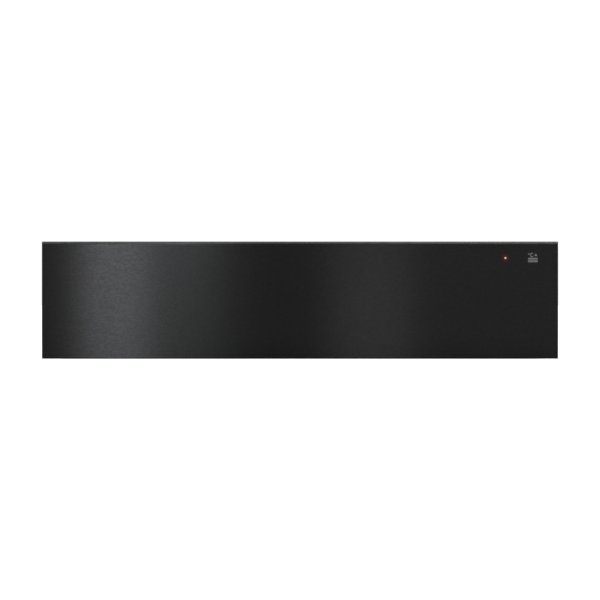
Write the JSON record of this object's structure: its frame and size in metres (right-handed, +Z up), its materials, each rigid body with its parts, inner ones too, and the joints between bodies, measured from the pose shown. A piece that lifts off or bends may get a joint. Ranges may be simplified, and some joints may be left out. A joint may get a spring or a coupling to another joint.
{
  "type": "built in warming drawer",
  "caption": "Handleless built-in warming drawer: flat dark brushed front, sheet-metal housing, heated slide-out drawer on ball-bearing runners, fan, push latch and folding cable arm.",
  "frame": {"origin": "centre of the footprint, on the plane that the housing stands on, with the drawer closed", "axes": "+X to the right as seen from the front and along the front's width, -Y towards the user out of the front face, +Z up"},
  "size_m": [0.594, 0.544, 0.136],
  "materials": {
    "black_steel": "black brushed stainless sheet with an anti-fingerprint coat",
    "stainless": "brushed stainless sheet",
    "galvanised": "galvanised steel sheet",
    "zinc_plated": "bright zinc-plated steel",
    "motor_metal": "painted steel motor can",
    "black_plastic": "moulded black plastic",
    "grey_plastic": "moulded grey plastic",
    "mineral_wool": "pressed mineral wool",
    "honeycomb_core": "paper honeycomb stiffening core",
    "dark_glass": "dark toughened glass, polished",
    "silicone": "dark grey silicone, matt",
    "rubber": "black rubber",
    "circuit_board": "green solder mask",
    "red_lens": "lit red light pipe",
    "element_sheath": "annealed heater sheath",
    "cable_jacket": "black cable jacket"
  },
  "bodies": {
    "housing": {"housing_base": "galvanised", "housing_side_left": "galvanised", "housing_side_right": "galvanised", "housing_rear_panel": "galvanised", "housing_top_cover": "galvanised", "top_insulation_pad": "mineral_wool", "top_heat_shield": "stainless", "cabinet_bracket_left": "galvanised", "cabinet_bracket_right": "galvanised", "bumper_left": "rubber", "bumper_right": "rubber", "rail_outer_left": "zinc_plated", "rail_outer_right": "zinc_plated", "push_latch_case": "black_plastic", "terminal_box": "grey_plastic", "terminal_box_lid": "grey_plastic", "mains_cable_gland": "black_plastic", "cable_arm_base_bracket": "galvanised", "arm_lead_housing": "cable_jacket"},
    "drawer": {"front_panel": "black_steel", "front_core": "honeycomb_core", "front_back_plate": "galvanised", "control_housing": "black_plastic", "control_board": "circuit_board", "indicator_lens": "red_lens", "front_fixing_screw_left": "zinc_plated", "front_fixing_screw_right": "zinc_plated", "drawer_front_wall": "stainless", "drawer_side_left": "stainless", "drawer_side_right": "stainless", "drawer_back_wall": "galvanised", "drawer_floor_pan": "galvanised", "floor_insulation": "mineral_wool", "heating_element": "element_sheath", "floor_frame": "stainless", "glass_base_plate": "dark_glass", "anti_slip_mat": "silicone", "air_baffle": "stainless", "fan_motor": "motor_metal", "thermal_cutout": "black_plastic", "temperature_probe": "zinc_plated", "power_module": "grey_plastic", "latch_striker": "zinc_plated", "drawer_harness": "cable_jacket", "rail_inner_left": "zinc_plated", "rail_inner_right": "zinc_plated", "cable_arm_drawer_bracket": "galvanised", "arm_lead_drawer": "cable_jacket"},
    "runner_middle_left": {"rail_middle_left": "zinc_plated"},
    "runner_middle_right": {"rail_middle_right": "zinc_plated"},
    "outer_cage_left": {"ball_cage_outer_left": "black_plastic"},
    "outer_cage_right": {"ball_cage_outer_right": "black_plastic"},
    "inner_cage_left": {"ball_cage_inner_left": "black_plastic"},
    "inner_cage_right": {"ball_cage_inner_right": "black_plastic"},
    "plunger": {"latch_plunger": "grey_plastic"},
    "arm_rear": {"cable_arm_rear_link": "galvanised", "arm_harness_rear": "cable_jacket"},
    "arm_front": {"cable_arm_front_link": "galvanised", "arm_harness_front": "cable_jacket"},
    "fan": {"fan_wheel": "zinc_plated"}
  },
  "joints": [
    {"name": "drawer_slide", "type": "slide", "parent": "housing", "child": "drawer", "axis": [0, -1, 0], "range_m": [-0.0025, 0.42]},
    {"name": "runner_middle_left_slide", "type": "slide", "parent": "housing", "child": "runner_middle_left", "axis": [0, -1, 0], "range_m": [-0.00175, 0.2105]},
    {"name": "outer_cage_left_slide", "type": "slide", "parent": "housing", "child": "outer_cage_left", "axis": [0, -1, 0], "range_m": [-0.00113, 0.1055]},
    {"name": "inner_cage_left_slide", "type": "slide", "parent": "housing", "child": "inner_cage_left", "axis": [0, -1, 0], "range_m": [-0.00237, 0.3155]},
    {"name": "runner_middle_right_slide", "type": "slide", "parent": "housing", "child": "runner_middle_right", "axis": [0, -1, 0], "range_m": [-0.00175, 0.2105]},
    {"name": "outer_cage_right_slide", "type": "slide", "parent": "housing", "child": "outer_cage_right", "axis": [0, -1, 0], "range_m": [-0.00113, 0.1055]},
    {"name": "inner_cage_right_slide", "type": "slide", "parent": "housing", "child": "inner_cage_right", "axis": [0, -1, 0], "range_m": [-0.00237, 0.3155]},
    {"name": "latch_plunger_slide", "type": "slide", "parent": "housing", "child": "plunger", "axis": [0, -1, 0], "range_m": [-0.00038, 0.03049]},
    {"name": "cable_arm_base_pivot", "type": "hinge", "parent": "housing", "child": "arm_rear", "pos_m": [0.2, 0.251, 0], "axis": [0, 0, 1], "range_deg": [-0.49, 31.75]},
    {"name": "cable_arm_elbow", "type": "hinge", "parent": "arm_rear", "child": "arm_front", "pos_m": [-0.19986, 0.2405, 0], "axis": [0, 0, -1], "range_deg": [-0.67, 63.19]},
    {"name": "fan_spin", "type": "hinge", "parent": "drawer", "child": "fan", "pos_m": [0, 0.203, 0.075], "axis": [0, 1, 0], "continuous": true}
  ],
  "couplings": [
    {"joint": "runner_middle_left_slide", "follows": "drawer_slide", "ratio": 0.5},
    {"joint": "outer_cage_left_slide", "follows": "drawer_slide", "ratio": 0.25},
    {"joint": "inner_cage_left_slide", "follows": "drawer_slide", "ratio": 0.75},
    {"joint": "runner_middle_right_slide", "follows": "drawer_slide", "ratio": 0.5},
    {"joint": "outer_cage_right_slide", "follows": "drawer_slide", "ratio": 0.25},
    {"joint": "inner_cage_right_slide", "follows": "drawer_slide", "ratio": 0.75},
    {"joint": "latch_plunger_slide", "follows": "drawer_slide", "ratio": 0.0714},
    {"joint": "cable_arm_base_pivot", "follows": "drawer_slide", "rad_per_m": 1.3068},
    {"joint": "cable_arm_elbow", "follows": "drawer_slide", "rad_per_m": 2.6136}
  ]
}
